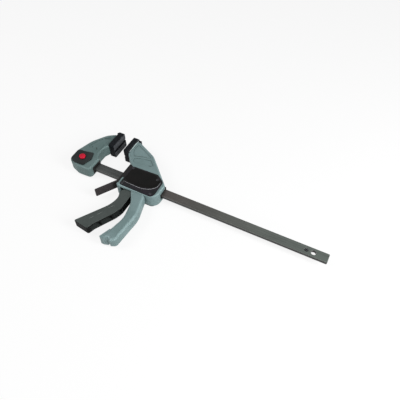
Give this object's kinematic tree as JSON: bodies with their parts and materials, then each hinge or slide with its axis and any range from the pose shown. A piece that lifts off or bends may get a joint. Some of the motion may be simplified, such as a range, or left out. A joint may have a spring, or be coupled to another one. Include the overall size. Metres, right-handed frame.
{
  "type": "quick release bar clamp",
  "caption": "One-handed bar clamp: a steel bar with a fixed jaw at one end and a sliding pistol-grip jaw with trigger and release lever.",
  "frame": {"origin": "centre of the bar at the fixed pad's clamping face, in the clamp's middle plane", "axes": "+X along the bar from the fixed jaw to its free end, +Y the way the jaws reach, +Z out of the side with the red button; the clamp lies on its side"},
  "size_m": [0.5238, 0.2315, 0.0346],
  "materials": {
    "bar_steel": "dark oiled, cold rolled",
    "pin_steel": "bright zinc",
    "plate_steel": "ground, lightly oiled",
    "shell_plastic": "fine moulded texture",
    "black_plastic": "fine moulded texture",
    "cover_plastic": "glossy",
    "red_plastic": "satin",
    "pad_rubber": "matt"
  },
  "bodies": {
    "bar_and_fixed_jaw": {"bar": "bar_steel", "bar_stop_pin": "pin_steel", "fixed_jaw": "shell_plastic", "fixed_jaw_panel": "black_plastic", "fixed_jaw_back_panel": "black_plastic", "fixed_jaw_sleeve": "black_plastic", "fixed_pad": "pad_rubber", "button_spring": "plate_steel"},
    "sliding_body": {"upper_shell": "shell_plastic", "lower_shell": "shell_plastic", "upper_cover": "cover_plastic", "lower_cover": "cover_plastic", "cover_screws": "pin_steel", "front_guide": "black_plastic", "rear_guide": "black_plastic", "moving_pad": "pad_rubber", "shell_screws": "pin_steel", "trigger_pin": "pin_steel", "spring_seat": "plate_steel", "drive_spring": "plate_steel", "brake_spring": "plate_steel"},
    "trigger_arm": {"trigger": "black_plastic"},
    "drive": {"drive_plates": "plate_steel"},
    "release": {"brake_plate": "plate_steel", "release_lever": "black_plastic"},
    "button": {"jaw_button": "red_plastic", "latch_yoke": "plate_steel"}
  },
  "joints": [
    {"name": "body_slide", "type": "slide", "parent": "bar_and_fixed_jaw", "child": "sliding_body", "axis": [1, 0, 0], "range_m": [-0.0229, 0.2769]},
    {"name": "trigger_squeeze", "type": "hinge", "parent": "sliding_body", "child": "trigger_arm", "pos_m": [0.088, 0.016, 0], "axis": [0, 0, 1], "range_deg": [0, 12], "stiffness_Nm_per_rad": 1, "springref_deg": -8.59},
    {"name": "drive_plates_slide", "type": "slide", "parent": "sliding_body", "child": "drive", "axis": [1, 0, 0], "range_m": [0, 0.0062], "deforming": ["drive_spring"]},
    {"name": "release_swing", "type": "hinge", "parent": "sliding_body", "child": "release", "pos_m": [0.0705, 0.019, 0], "axis": [0, 0, 1], "range_deg": [0, 4], "stiffness_Nm_per_rad": 1, "springref_deg": -5.73, "deforming": ["brake_spring"]},
    {"name": "button_press", "type": "slide", "parent": "bar_and_fixed_jaw", "child": "button", "axis": [0, 0, 1], "range_m": [-0.0034, 0], "stiffness_N_per_m": 900, "springref_m": 0.001, "deforming": ["button_spring"]}
  ],
  "couplings": [
    {"joint": "drive_plates_slide", "follows": "trigger_squeeze", "m_per_rad": 0.02922}
  ]
}
